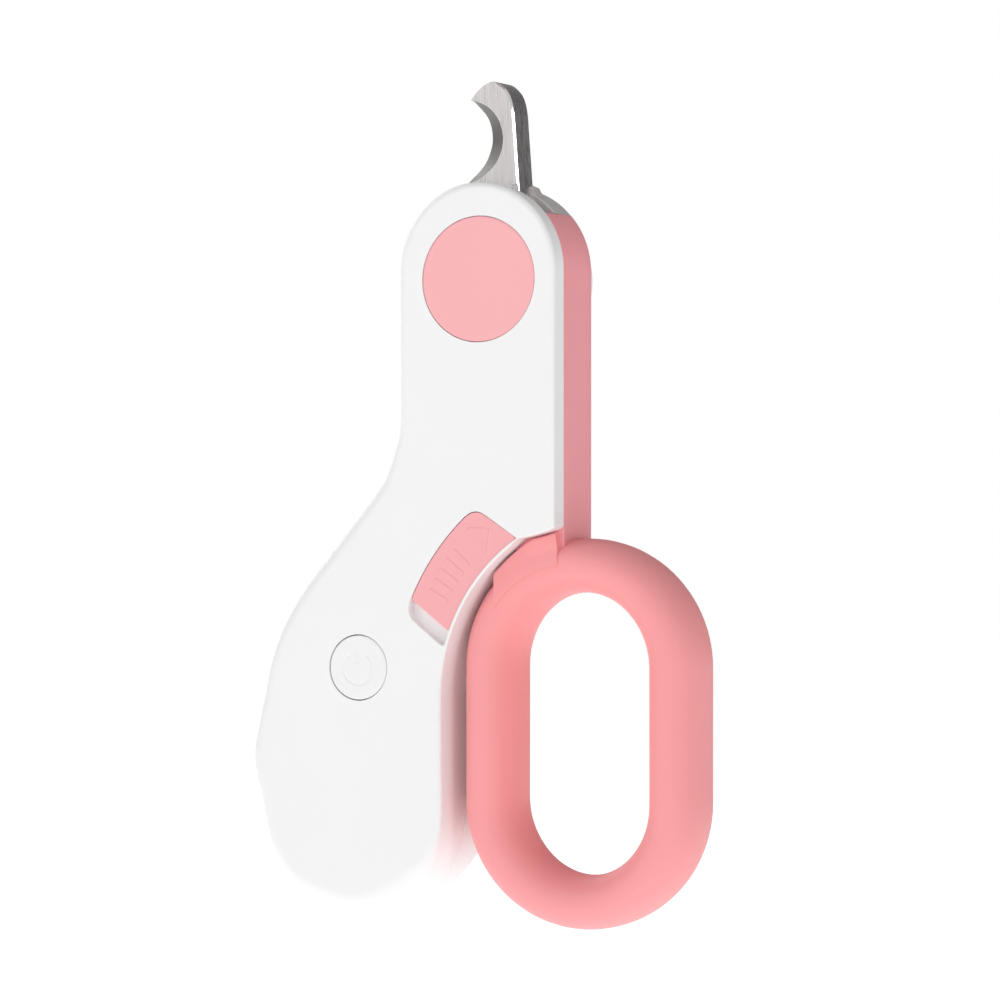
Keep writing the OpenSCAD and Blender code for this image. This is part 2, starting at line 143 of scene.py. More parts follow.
# Left side and foot of the handle, from the neck round to the wall beside the loop
SIDE_POINTS = [
    (-13.4, 6), (-13.4, 1.3), (-13.4, -9), (-13.4, -20.5), (-14.2, -24.7), (-16.2, -29.3), (-19.7, -33.7),
    (-24.6, -39.4), (-29.6, -45.3), (-33.3, -51), (-35.4, -56.3), (-36.6, -61.5), (-38, -67.4),
    (-38.4, -70.3), (-38.05, -73.4), (-37.1, -76.8), (-35.4, -83.6), (-32, -88.7), (-27.1, -91.7),
    (-21, -93.2), (-15.4, -91.9), (-10.7, -88.8), (-7.6, -84.7), (-6.25, -79), (-6.25, -70), (-6.25, -61.3)]
# Rounding of the shells' outer edge at each of those points
SIDE_RADII = [1.7] * 5 + [2.0] * 13 + [2.6, 3.0, 3.2, 3.0, 1.6, 0.6, 0.6, 0.6]
SIDE_STEPS = 8


# ---------------------------------------------------------------- outlines, as (x, z) points

def arc(cx, cz, r, start, end, steps):
    """Arc of steps + 1 points, angles in degrees."""
    angles = [math.radians(start + (end - start) * k / steps) for k in range(steps + 1)]
    return [(cx + r * math.cos(a), cz + r * math.sin(a)) for a in angles]


def circle(cx, cz, r, steps=96):
    return arc(cx, cz, r, 0, 360, steps)[:-1]


def smooth(points, steps):
    """Smooth curve through all points but the first and the last."""
    curve = []
    for i in range(1, len(points) - 2):
        p0, p1, p2, p3 = (Vector(p) for p in points[i - 1:i + 3])
        for k in range(steps):
            t = k / steps
            p = 0.5 * (2 * p1 + (p2 - p0) * t + (2 * p0 - 5 * p1 + 4 * p2 - p3) * t * t
                       + (3 * p1 - p0 - 3 * p2 + p3) * t ** 3)
            curve.append(tuple(p))
    return curve


def rectangle(x0, z0, x1, z1):
    return [(x0, z0), (x1, z0), (x1, z1), (x0, z1)]


def round_rectangle(x0, z0, x1, z1, r, steps=8):
    return (arc(x1 - r, z0 + r, r, -90, 0, steps) + arc(x1 - r, z1 - r, r, 0, 90, steps)
            + arc(x0 + r, z1 - r, r, 90, 180, steps) + arc(x0 + r, z0 + r, r, 180, 270, steps))


def inset(outline, distances):
    """Anticlockwise outline moved inwards by a distance, or by one distance for each point."""
    n = len(outline)
    if not isinstance(distances, list):
        distances = [distances] * n
    moved = []
    for i in range(n):
        p = Vector(outline[i])
        u = (p - Vector(outline[i - 1])).normalized()
        v = (Vector(outline[(i + 1) % n]) - p).normalized()
        n1, n2 = Vector((-u.y, u.x)), Vector((-v.y, v.x))
        miter = (n1 + n2) / max(1 + n1.dot(n2), 0.4)
        moved.append(tuple(p + miter * distances[i]))
    return moved


def on_lock(r, angle):
    """Point at radius r and an angle in degrees about the lock's centre."""
    return LOCK_X + r * math.cos(math.radians(angle)), LOCK_Z + r * math.sin(math.radians(angle))


def bend(a, corner, b, steps=7):
    """Points of a rounded corner from a to b, without b."""
    a, corner, b = Vector(a), Vector(corner), Vector(b)
    shares = [k / steps for k in range(steps)]
    return [tuple(a * (1 - t) ** 2 + 2 * corner * t * (1 - t) + b * t * t) for t in shares]


def lock_band(r_in, r_out, angles, corners=(0.01, 0.01, 0.01, 0.01), steps=24):
    """Band between two arcs about the lock's centre; angles are inner start and end, outer start and end.
    Corners are the roundings at the outer start, outer end, inner end and inner start."""
    inner_0, inner_1, outer_0, outer_1 = angles
    places = [on_lock(r_out, outer_0), on_lock(r_out, outer_1),
              on_lock(r_in, inner_1), on_lock(r_in, inner_0)]
    turn = [math.degrees(c / r) for c, r in zip(corners, (r_out, r_out, r_in, r_in))]
    outer = arc(LOCK_X, LOCK_Z, r_out, outer_0 + turn[0], outer_1 - turn[1], steps)
    inner = arc(LOCK_X, LOCK_Z, r_in, inner_1 - turn[2], inner_0 + turn[3], steps)
    far = side_points(places[1], places[2], corners[1], corners[2])
    near = side_points(places[3], places[0], corners[3], corners[0])
    return (outer[:-1] + bend(outer[-1], places[1], far[0])
            + [far[0]] + bend(far[1], places[2], inner[0])
            + inner[:-1] + bend(inner[-1], places[3], near[0])
            + [near[0]] + bend(near[1], places[0], outer[0]))


def side_points(a, b, from_a, from_b):
    """Points on the line from a to b, at a distance from each end."""
    a, b = Vector(a), Vector(b)
    step = (b - a).normalized()
    return tuple(a + step * from_a), tuple(b - step * from_b)


def between(a, b, steps):
    """Evenly spaced values from a towards b, without b."""
    return [a + (b - a) * k / steps for k in range(steps)]


def handle_outline():
    """Whole handle, anticlockwise as seen from the front, and the rounding of its edge at each point."""
    side = smooth(SIDE_POINTS, SIDE_STEPS)
    wall_arc = arc(LOCK_X, LOCK_Z, EDGE_ARC_R, 180, 164, 10)
    lock_arc = arc(LOCK_X, LOCK_Z, EDGE_ARC_R, 162, 127.5, 26)
    shoulder = arc(0, 0, SHOULDER_R, -80.3, -72.4, 8)
    corner = arc(NECK_RIGHT - CORNER_R, -35.58, CORNER_R, -72, 0, 8)
    neck = [(NECK_RIGHT, z) for z in (-33, -29, -24, -18, -12, -7, -3)]
    arch = arc(ARCH_X, ARCH_Z, ARCH_R, 0, 176, 60)
    points = side + wall_arc + lock_arc + shoulder + corner + neck + arch
    crisp, thin_rim, neck_r, left_r = 0.6, 0.12, 0.3, 1.7
    radii = []
    for a, b in zip(SIDE_RADII[1:-2], SIDE_RADII[2:-1]):
        radii += between(a, b, SIDE_STEPS)
    radii += between(crisp, thin_rim, len(wall_arc))
    radii += [thin_rim] * len(lock_arc)
    radii += between(thin_rim, neck_r, len(shoulder))
    radii += [neck_r] * len(corner)
    radii += between(neck_r, crisp, len(neck))
    radii += between(crisp, left_r, len(arch))
    return points, radii


# ---------------------------------------------------------------- mesh making

def new_object(name, bm):
    bmesh.ops.remove_doubles(bm, verts=bm.verts, dist=1e-8)
    bmesh.ops.recalc_face_normals(bm, faces=bm.faces)
    mesh = bpy.data.meshes.new(name)
    bm.to_mesh(mesh)
    bm.free()
    obj = bpy.data.objects.new(name, mesh)
    bpy.context.scene.collection.objects.link(obj)
    return obj


def loft(name, rings, closed=False):
    """Closed shell through rings of points with the same number of points, capped at both ends."""
    bm = bmesh.new()
    made = [[bm.verts.new([c * MM for c in p]) for p in ring] for ring in rings]
    n = len(rings[0])
    pairs = list(zip(made, made[1:])) + ([(made[-1], made[0])] if closed else [])
    for a, b in pairs:
        for k in range(n):
            bm.faces.new((a[k], a[(k + 1) % n], b[(k + 1) % n], b[k]))
    if not closed:
        bm.faces.new(made[0])
        bm.faces.new(made[-1])
    return new_object(name, bm)


def edge_rings(outline, face, inward, radius, steps, guard):
    """Rings of a rounded edge, from the flat face to the side wall."""
    n = len(outline)
    radii = radius if isinstance(radius, list) else [radius] * n
    rings = []
    if guard > 0:
        rings.append((inset(outline, [r + guard for r in radii]), [face] * n))
    for k in range(steps + 1):
        a = math.pi / 2 * k / max(steps, 1)
        cut = [r * (1 - math.sin(a)) for r in radii]
        depth = [face + inward * r * (1 - math.cos(a)) for r in radii]
        rings.append((inset(outline, cut), depth))
    return rings


def solid(name, outline, y0, y1, front_r=0.0, back_r=0.0, steps=6, guard=0.25):
    """Slab of an outline from y0 at the front to y1 at the back, with rounded edges."""
    front = edge_rings(outline, y0, 1, front_r or 0.0, steps if front_r else 0, guard if front_r else 0)
    back = edge_rings(outline, y1, -1, back_r or 0.0, steps if back_r else 0, guard if back_r else 0)
    rings = [[(p[0], y, p[1]) for p, y in zip(ring, depths)] for ring, depths in front + back[::-1]]
    return loft(name, rings)


def cut(obj, *cutters, operation="DIFFERENCE"):
    """Boolean of obj with each cutter in turn; the cutters are used up."""
    for c in cutters:
        modifier = obj.modifiers.new("cut", "BOOLEAN")
        modifier.object = c
        modifier.operation = operation
        modifier.solver = "EXACT"
    mesh = applied(obj)
    for c in cutters:
        bpy.data.objects.remove(c)
    obj.data = mesh
    return obj


def merged(name, parts):
    """One object with the meshes of several closed parts."""
    bm = bmesh.new()
    for part in parts:
        bm.from_mesh(part.data)
        bpy.data.objects.remove(part)
    mesh = bpy.data.meshes.new(name)
    bm.to_mesh(mesh)
    bm.free()
    obj = bpy.data.objects.new(name, mesh)
    bpy.context.scene.collection.objects.link(obj)
    return obj


def applied(obj):
    """Mesh of obj with its modifiers, which are then removed."""
    bpy.context.view_layer.update()
    mesh = bpy.data.meshes.new_from_object(obj.evaluated_get(bpy.context.evaluated_depsgraph_get()))
    obj.modifiers.clear()
    return mesh


def soften(obj, width, steps=2, angle=50):
    """Small rounding of all sharp edges."""
    modifier = obj.modifiers.new("edges", "BEVEL")
    modifier.width = width * MM
    modifier.segments = steps
    modifier.limit_method = "ANGLE"
    modifier.angle_limit = math.radians(angle)
    modifier.use_clamp_overlap = True
    obj.data = applied(obj)
    return obj


def shade(obj, angle=32):
    """Smooth shading with sharp edges kept, and flat faces kept flat next to rounded edges."""
    for p in obj.data.polygons:
        p.use_smooth = True
    obj.data.set_sharp_from_angle(angle=math.radians(angle))
    modifier = obj.modifiers.new("normals", "WEIGHTED_NORMAL")
    modifier.keep_sharp = True
    modifier.weight = 50
    return obj


def place(obj, material, body, slot, *nodes):
    """Gives a piece its material and puts it in the place of its CAD nodes."""
    obj.data.materials.clear()
    obj.data.materials.append(material)
    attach(obj, body)
    if nodes:
        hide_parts(*nodes)
    return obj


# ---------------------------------------------------------------- materials

def new_material(name, **sockets):
    material = bpy.data.materials.new(name)
    material.use_nodes = True
    shader = material.node_tree.nodes["Principled BSDF"]
    for socket, value in sockets.items():
        shader.inputs[socket.replace("_", " ")].default_value = value
    return material


def noise(material, scale, detail=4.0, stretch=(1, 1, 1)):
    """Noise in the piece's own coordinates; scale is in cells per metre."""
    nodes, links = material.node_tree.nodes, material.node_tree.links
    coords = nodes.new("ShaderNodeTexCoord")
    mapping = nodes.new("ShaderNodeMapping")
    mapping.inputs["Scale"].default_value = stretch
    texture = nodes.new("ShaderNodeTexNoise")
    texture.inputs["Scale"].default_value = scale
    texture.inputs["Detail"].default_value = detail
    links.new(coords.outputs["Object"], mapping.inputs["Vector"])
    links.new(mapping.outputs["Vector"], texture.inputs["Vector"])
    return texture.outputs["Fac"]


def vary_color(material, source, dark, light, low=0.3, high=0.7):
    """Base colour that runs from dark to light with a noise."""
    nodes, links = material.node_tree.nodes, material.node_tree.links
    ramp = nodes.new("ShaderNodeValToRGB")
    ramp.color_ramp.elements[0].position = low
    ramp.color_ramp.elements[0].color = (*dark, 1)
    ramp.color_ramp.elements[1].position = high
    ramp.color_ramp.elements[1].color = (*light, 1)
    links.new(source, ramp.inputs["Fac"])
    links.new(ramp.outputs["Color"], nodes["Principled BSDF"].inputs["Base Color"])


def vary_roughness(material, source, low, high):
    nodes, links = material.node_tree.nodes, material.node_tree.links
    spread = nodes.new("ShaderNodeMapRange")
    spread.inputs["From Min"].default_value = 0.3
    spread.inputs["From Max"].default_value = 0.7
    spread.inputs["To Min"].default_value = low
    spread.inputs["To Max"].default_value = high
    links.new(source, spread.inputs["Value"])
    links.new(spread.outputs["Result"], nodes["Principled BSDF"].inputs["Roughness"])


def add_bump(material, source, height, strength=1.0):
    """Bump whose full height is given in millimetres."""
    nodes, links = material.node_tree.nodes, material.node_tree.links
    bump = nodes.new("ShaderNodeBump")
    bump.inputs["Strength"].default_value = strength
    bump.inputs["Distance"].default_value = height * MM
    links.new(source, bump.inputs["Height"])
    links.new(bump.outputs["Normal"], nodes["Principled BSDF"].inputs["Normal"])


def plastic(name, color, rough=0.42, grain=0.004, spread=0.03, **sockets):
    """Moulded plastic: fine spark-eroded grain, faint cloudy colour and patches that shine a little more."""
    material = new_material(name, **sockets)
    darker = tuple(c * (1 - spread) for c in color)
    vary_color(material, noise(material, 60, 3), darker, color)
    vary_roughness(material, noise(material, 350, 5), rough - 0.05, rough + 0.06)
    add_bump(material, noise(material, 9000, 2), grain, 0.35)
    return material


def metal(name, color, rough, stretch=(1, 1, 1), scale=2500, spread=0.12, height=0.003, metallic=1.0):
    """Metal with fine lines or grain; stretch sets which way the lines run."""
    material = new_material(name, Metallic=metallic)
    darker = tuple(c * (1 - spread) for c in color)
    lines = noise(material, scale, 3, stretch)
    vary_color(material, lines, darker, color)
    vary_roughness(material, lines, rough - 0.05, rough + 0.08)
    add_bump(material, lines, height, 0.3)
    return material


WHITE = plastic("white_plastic", (0.93, 0.93, 0.935), 0.42, spread=0.012)
WHITE_BUTTON = plastic("white_button_plastic", (0.92, 0.92, 0.925), 0.36, spread=0.012)
PINK_CAP = plastic("pink_cap_plastic", (0.99, 0.47, 0.49), 0.45, spread=0.02)
PINK_SLIDER = plastic("pink_slider_plastic", (0.97, 0.44, 0.46), 0.42, spread=0.02)
PINK_LEVER = plastic("pink_lever_plastic", (0.95, 0.38, 0.41), 0.42, spread=0.03, Specular_IOR_Level=0.3)
PINK_SOFT = plastic("pink_soft_touch", (0.99, 0.37, 0.38), 0.5, 0.005, 0.03, Specular_IOR_Level=0.3)
BLACK = plastic("black_plastic", (0.035, 0.035, 0.04), 0.4, spread=0.2)
LEAD_RED = plastic("red_wire_cover", (0.55, 0.045, 0.04), 0.35, spread=0.1)
BLADE = metal("brushed_blade_steel", (0.69, 0.665, 0.66), 0.3, (60, 20, 1), 120, 0.16)
GROUND = metal("ground_blade_edge", (0.2, 0.195, 0.19), 0.45, (60, 60, 2), 60, 0.3)
POLISHED = metal("polished_blade_edge", (0.98, 0.98, 0.98), 0.12, (20, 20, 1), 120, 0.03, 0.0005)
HEEL = metal("matte_heel_steel", (0.80, 0.76, 0.76), 0.5, (60, 20, 1), 120, 0.08, metallic=0.55)
STEEL = metal("zinc_plated_steel", (0.62, 0.62, 0.63), 0.3)
SPRING = metal("drawn_spring_wire", (0.5, 0.5, 0.52), 0.26, (1, 8, 8), 400)
BRASS = metal("turned_brass", (0.76, 0.58, 0.29), 0.28, (1, 30, 1), 200)
CONTACT = metal("plated_contact", (0.82, 0.68, 0.38), 0.24)
CELL = metal("plated_cell", (0.76, 0.76, 0.77), 0.2)
LENS = plastic("frosted_lens", (0.93, 0.94, 0.95), 0.3, spread=0.03, Transmission_Weight=0.45, IOR=1.5)
LED = plastic("led_epoxy", (0.9, 0.8, 0.4), 0.2, spread=0.1, Transmission_Weight=0.3)


def board_material():
    """Green solder mask with lighter copper tracks under it."""
    material = new_material("solder_mask", Roughness=0.3)
    nodes, links = material.node_tree.nodes, material.node_tree.links
    tracks = nodes.new("ShaderNodeTexBrick")
    tracks.inputs["Color1"].default_value = (0.012, 0.15, 0.055, 1)
    tracks.inputs["Color2"].default_value = (0.018, 0.18, 0.065, 1)
    tracks.inputs["Mortar"].default_value = (0.05, 0.3, 0.1, 1)
    tracks.inputs["Scale"].default_value = 500
    tracks.inputs["Mortar Size"].default_value = 0.03
    turn = nodes.new("ShaderNodeMapping")
    turn.inputs["Rotation"].default_value = (math.pi / 2, 0, 0)
    coords = nodes.new("ShaderNodeTexCoord")
    links.new(coords.outputs["Object"], turn.inputs["Vector"])
    links.new(turn.outputs["Vector"], tracks.inputs["Vector"])
    links.new(tracks.outputs["Color"], nodes["Principled BSDF"].inputs["Base Color"])
    add_bump(material, tracks.outputs["Fac"], 0.03)
    return material


# ---------------------------------------------------------------- handle

def lever_room(y0, y1):
    """Space that the hub and the arm swing in, as separate cutters."""
    return [
        solid("room_hub", circle(0, 0, HUB_R + HUB_GAP, 120), y0, y1),
        solid("room_top", rectangle(-30, 0, 30, 30), y0 - 0.001, y1 + 0.001),
        solid("room_arm", rectangle(ARM_LEFT - ARM_GAP, -39.6, 30, 5), y0 - 0.002, y1 + 0.002)]


def make_cavity(top, y0, y1):
    """Hollow of the handle, below a height and clear of the lever."""
    outline = handle_outline()[0]
    right = ARM_LEFT - ARM_GAP - WALL_INSET
    kept = [p for p in inset(outline, WALL_INSET) if p[0] < right and p[1] < top]
    return solid("cavity", kept + [(right, top)], y0, y1)


def make_front_shell():
    """Front shell with the cap's recess, the button's hole and the slider's pocket."""
    outline, radii = handle_outline()
    shell = solid("front_shell_skin", outline, FRONT, MID - PARTING, radii, PARTING_R, steps=8, guard=0.06)
    cavity = make_cavity(-33, FRONT + WALL, MID + 2)
    pocket_angles = [SLIDER_ANGLES[0] - 0.2, SLIDER_ANGLES[1] + LOCK_TRAVEL + 1.8,
                     SLIDER_ANGLES[2] - 0.2, SLIDER_ANGLES[3] + LOCK_TRAVEL + 0.3]
    pocket = lock_band(SLIDER_IN - 0.04, SLIDER_OUT + 0.1, pocket_angles, (2.1, 2.2, 1.0, 0.3))
    cut(shell, *lever_room(LAYER_BACK, MID + 2), cavity,
        solid("cap_recess", circle(0, 0, 9.2), FRONT - 2, FRONT + 0.8),
        solid("button_hole", circle(*BUTTON_AT, BUTTON_R + 0.15), FRONT - 2, FRONT + WALL + 1),
        solid("pocket", pocket, FRONT - 2, FRONT + SLIDER_T + 0.1))
    soften(shell, 0.1)
    return place(shade(shell), WHITE, "handle", "white_shell", "front_shell")


def make_rear_shell():
    """Rear shell with the screws' holes and the battery door's recess."""
    outline, radii = handle_outline()
    shell = solid("rear_shell_skin", outline, MID + PARTING, BACK, PARTING_R, radii, steps=8, guard=0.06)
    cavity = make_cavity(-17, MID - 2, BACK - WALL)
    screws = [solid("screw_hole", circle(x, z, 2, 48), MID + 5, BACK + 1)
              for x, z in island_centres("case_screws")]
    gap = 0.1
    recess = round_rectangle(DOOR_LOW[0] - gap, DOOR_LOW[2] - gap,
                             DOOR_HIGH[0] + gap, DOOR_HIGH[2] + gap, 0.9)
    cut(shell, *lever_room(MID - 2, BACK + 2), cavity, *screws,
        solid("door_recess", recess, BACK - 1.2, BACK + 2))
    soften(shell, 0.1)
    return place(shade(shell), WHITE, "handle", "white_shell", "rear_shell")


def island_centres(node):
    """Centres (x, z) in millimetres of a CAD node's separate solids, from all the points of each."""
    points = [v.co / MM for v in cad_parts[node].data.vertices]
    groups = []
    for p in points:
        near = [g for g in groups if (Vector((g[0].x, g[0].z)) - Vector((p.x, p.z))).length < 5]
        if near:
            near[0].append(p)
        else:
            groups.append([p])
    centres = []
    for g in groups:
        xs, zs = [p.x for p in g], [p.z for p in g]
        centres.append(((min(xs) + max(xs)) / 2, (min(zs) + max(zs)) / 2))
    return centres


def make_pivot_cap():
    r = (CAP_HIGH[0] - CAP_LOW[0]) / 2
    cap = solid("pivot_cap_disc", circle(0, 0, r, 128), CAP_LOW[1], CAP_HIGH[1], 0.18, 0, steps=4)
    return place(shade(cap), PINK_CAP, "handle", "pink_cap", "pivot_cap")


def make_button():
    """Round button with a shallow engraved power mark."""
    x, z = BUTTON_AT
    flange_front = BUTTON_HIGH[1] - 0.4
    mark_back = BUTTON_LOW[1] + 0.09
    button = solid("power_button_top", circle(x, z, BUTTON_R), BUTTON_LOW[1], flange_front, 0.22, 0, steps=4)
    flange = solid("flange", circle(x, z, BUTTON_R + BUTTON_FLANGE), flange_front, BUTTON_HIGH[1])
    ring = arc(x, z, 2.7, 125, 415, 48) + arc(x, z, 2.15, 415, 125, 48)
    bar = round_rectangle(x - 0.27, z + 0.6, x + 0.27, z + 3.1, 0.2)
    cut(button, flange, operation="UNION")
    cut(button, solid("ring", ring, BUTTON_LOW[1] - 1, mark_back),
        solid("bar", bar, BUTTON_LOW[1] - 1, mark_back))
    soften(button, 0.03, 1)
    return place(shade(button), WHITE_BUTTON, "button", "white_button", "power_button")


def make_door():
    """Battery door with its screw's seat and four finger grips."""
    outline = round_rectangle(DOOR_LOW[0], DOOR_LOW[2], DOOR_HIGH[0], DOOR_HIGH[2], 0.8)
    door = solid("battery_door_plate", outline, DOOR_LOW[1], DOOR_HIGH[1], 0, 0.25, steps=3)
    low, high = box_mm("door_screw")
    x, z = (low[0] + high[0]) / 2, (low[2] + high[2]) / 2
    middle = (DOOR_LOW[0] + DOOR_HIGH[0]) / 2
    grips = []
    for k in range(4):
        grip_z = DOOR_LOW[2] + 1.6 + k
        grip = round_rectangle(middle - 4, grip_z, middle + 4, grip_z + 0.5, 0.2)
        grips.append(solid("grip", grip, DOOR_HIGH[1] - 0.3, DOOR_HIGH[1] + 1))
    cut(door, solid("screw_seat", circle(x, z, 1.8, 48), DOOR_HIGH[1] - 0.75, DOOR_HIGH[1] + 1),
        solid("screw_hole", circle(x, z, 1, 48), DOOR_LOW[1] - 1, DOOR_HIGH[1] + 1), *grips)
    soften(door, 0.06, 1)
    return place(shade(door), WHITE, "handle", "white_shell", "battery_door")


def make_lens():
    outline = round_rectangle(LENS_LOW[0], LENS_LOW[2], LENS_HIGH[0], LENS_HIGH[2], 0.5)
    lens = solid("light_lens_tab", outline, LENS_LOW[1], LENS_HIGH[1], 0.3, 0.1, steps=4, guard=0.05)
    return place(shade(lens), LENS, "handle", "clear_lens", "light_lens")


# ---------------------------------------------------------------- lock

def make_slider():
    """Lock slider with a chevron and grip ribs."""
    face = SLIDER_LOW[1] + 0.09
    band = lock_band(SLIDER_IN, SLIDER_OUT, SLIDER_ANGLES, (2.0, 0.6, 0.6, 0.6))
    stem = lock_band(30.7, 33.1, [139.2, 149.2, 139.2, 149.2])
    parts = [solid("pad", band, face, SLIDER_LOW[1] + SLIDER_T - 0.05, 0.1, 0, steps=3, guard=0.04),
             solid("stem", stem, SLIDER_LOW[1] + SLIDER_T - 0.3, SLIDER_HIGH[1])]
    for angle in (139, 142, 145, 148, 151):
        rib = lock_band(30.2, 33.8, [angle, angle + 1.2, angle, angle + 1.2], (0.25,) * 4, steps=4)
        parts.append(solid("rib", rib, face - RAISED_BY, face + RAISED, RAISED_BY, 0, steps=3, guard=0))
    tip, tail, band_tip, band_tail = 128.2, 132.6, 1.9, 1.6
    inner, middle, outer = 29.8, 32, 34.2
    chevron = [on_lock(middle, tip), on_lock(outer, tail), on_lock(outer, tail + band_tail),
               on_lock(middle, tip + band_tip), on_lock(inner, tail + band_tail), on_lock(inner, tail)]
    parts.append(solid("chevron", chevron, face - RAISED_BY, face + RAISED, RAISED_BY, 0, steps=3, guard=0))
    slider = merged("lock_slider_pad", parts)
    return place(shade(slider), PINK_SLIDER, "slider", "pink_slider", "lock_slider")


# ---------------------------------------------------------------- lever

def loop_outline(r, steps=48):
    """Oval of the finger loop's path, grown or shrunk to end radius r."""
    top, bottom = LOOP_Z + LOOP_HALF, LOOP_Z - LOOP_HALF
    return arc(LOOP_X, top, r, 0, 180, steps) + arc(LOOP_X, bottom, r, 180, 360, steps)


def make_loop():
    """Oval tube whose section is a little fuller than an ellipse."""
    ring_count = 40
    power = 2 / TUBE_FULLNESS
    path = []
    top, bottom = LOOP_Z + LOOP_HALF, LOOP_Z - LOOP_HALF
    for k in range(48):
        a = math.pi * k / 48
        path.append(((LOOP_X, top), (math.cos(a), math.sin(a))))
    for k in range(6):
        path.append(((LOOP_X, top - 2 * LOOP_HALF * k / 6), (-1, 0)))
    for k in range(48):
        a = math.pi + math.pi * k / 48
        path.append(((LOOP_X, bottom), (math.cos(a), math.sin(a))))
    for k in range(6):
        path.append(((LOOP_X, bottom + 2 * LOOP_HALF * k / 6), (1, 0)))
    rings = []
    for (cx, cz), (ux, uz) in path:
        ring = []
        for j in range(ring_count):
            a = 2 * math.pi * j / ring_count
            c, s = math.cos(a), math.sin(a)
            across = math.copysign(abs(c) ** power, c) * (TUBE_W / 2 - CLEAR)
            depth = math.copysign(abs(s) ** power, s) * (TUBE_D / 2 - CLEAR)
            r = LOOP_R + across
            ring.append((cx + ux * r, MID + depth, cz + uz * r))
        rings.append(ring)
    loop = loft("finger_loop_tube", rings, closed=True)
    return place(shade(loop, 60), PINK_SOFT, "lever", "pink_soft", "finger_loop")


def make_arm():
    """Hub and side arm behind and beside the blades."""
    plan = (arc(ARCH_X, ARCH_Z, ARCH_R, 0, 178.3, 80) + arc(0, 0, HUB_R, 173.2, 274.25, 60)
            + [(ARM_LEFT, -30), (ARM_LEFT, -60), (NECK_RIGHT, -60), (NECK_RIGHT, -30), (NECK_RIGHT, -15)])
    radii = ([ARM_EDGE_R] * 30 + between(ARM_EDGE_R, 1.2, 51) + between(1.2, 0.3, 61) + [0.3] * 2
             + [ARM_EDGE_R] * 3)
    arm = solid("lever_arm_body", plan, LAYER_BACK + 0.1, BACK, 0.2, radii, steps=8)
    low = LAYER_BACK - 1
    cut(arm,
        solid("below", rectangle(-20, -70, 20, ARM_BOTTOM), low - 0.5, BACK + 1.3),
        solid("below_left", rectangle(-20, -50, 4.5, ARM_BOTTOM_LEFT), low - 0.6, BACK + 1.4),
        solid("blade_room", rectangle(-20, -10.6, 8.6, 20), low, HUB_FRONT),
        solid("blade_circle", circle(0, 0, 10), low - 0.1, HUB_FRONT - 0.001),
        solid("hub_room", rectangle(-20, -40, ARM_LEFT, 20), low - 0.2, HUB_FRONT + 0.001),
        solid("blade_top", rectangle(-20, 9.5, 20, 20), low - 0.3, HUB_FRONT - 0.002),
        solid("heel_room", rectangle(HEEL_X, HEEL_Z, 20, 21), low - 0.4, BACK + 1.1),
        solid("loop_room", loop_outline(LOOP_R + TUBE_W / 2 + 0.1), MID + 5.4, BACK + 1),
        solid("loop_hole", loop_outline(LOOP_R + 0.6), low - 2, BACK + 0.99),
        solid("cap_recess", circle(0, 0, REAR_RECESS_R), BACK - REAR_RECESS_T, BACK + 1.2),
        solid("spring_room", circle(0, 0, 10), HUB_FRONT + 1.3, BACK + 0.98),
        solid("bush_hole", circle(0, 0, 3.95, 64), HUB_FRONT - 2, BACK + 0.97))
    soften(arm, 0.12)
    return place(shade(arm), PINK_LEVER, "lever", "pink_lever", "lever_arm")


def tube_depth(across):
    """Half depth of the loop's tube at a distance across from its middle."""
    share = min(1.0, abs(across) / (TUBE_W / 2 - CLEAR))
    return (TUBE_D / 2 - CLEAR) * (1 - share ** TUBE_FULLNESS) ** (1 / TUBE_FULLNESS)


def reach_to_circle(start, direction, centre, r, leaving):
    """Distance along a ray to a circle, where it enters or leaves it, or None."""
    to_start = Vector(start) - Vector(centre)
    along = to_start.dot(direction)
    under = along ** 2 - to_start.length_squared + r * r
    if under < 0:
        return None
    return -along + math.sqrt(under) * (1 if leaving else -1)


def make_web():
    """Web between the arm and the loop, which runs into the loop's tube with a soft fillet."""
    plate, fillet, edge, gap = TUBE_D / 2 - 0.45, 1.2, 0.3, 0.13
    start, end, left_end = 97.5, 143.3, 1.3
    steps, across = 40, 16
    centre = Vector((LOOP_X, LOOP_Z + LOOP_HALF))
    rings = []
    for k in range(steps + 1):
        angle = math.radians(start + (end - start) * k / steps)
        direction = Vector((math.cos(angle), math.sin(angle)))
        reaches = [reach_to_circle(centre, direction, (LOCK_X, LOCK_Z), EDGE_ARC_R - 0.4, True),
                   reach_to_circle(centre, direction, (0, 0), SHOULDER_R + 0.3, False),
                   (left_end - LOOP_X) / direction.x]
        outer = min(r for r in reaches if r and r > LOOP_R)
        inner = LOOP_R + 0.2
        profile = []
        for j in range(across + 1):
            r = inner + (outer - edge - inner) * j / across
            tube = tube_depth(r - LOOP_R)
            rise = max(fillet - abs(tube - plate), 0) ** 2 / (4 * fillet)
            profile.append((r, max(tube, plate) + rise - 0.04))
        profile.append((outer - edge * 0.3, plate - gap))
        profile.append((outer, plate - gap - edge))
        section = [(r, -d) for r, d in profile] + [(r, d) for r, d in reversed(profile)]
        rings.append([(centre.x + direction.x * r, MID + d, centre.y + direction.y * r) for r, d in section])
    web = loft("lever_web", rings)
    return place(shade(web, 40), PINK_SOFT, "lever", "pink_soft")


def make_rear_cap():
    r = (REAR_CAP_HIGH[0] - REAR_CAP_LOW[0]) / 2
    cap = solid("rear_cap_disc", circle(0, 0, r, 128), REAR_CAP_LOW[1], REAR_CAP_HIGH[1], 0, 0.35, steps=4)
    return place(shade(cap), WHITE, "lever", "white_shell", "rear_cap")


# ---------------------------------------------------------------- blades

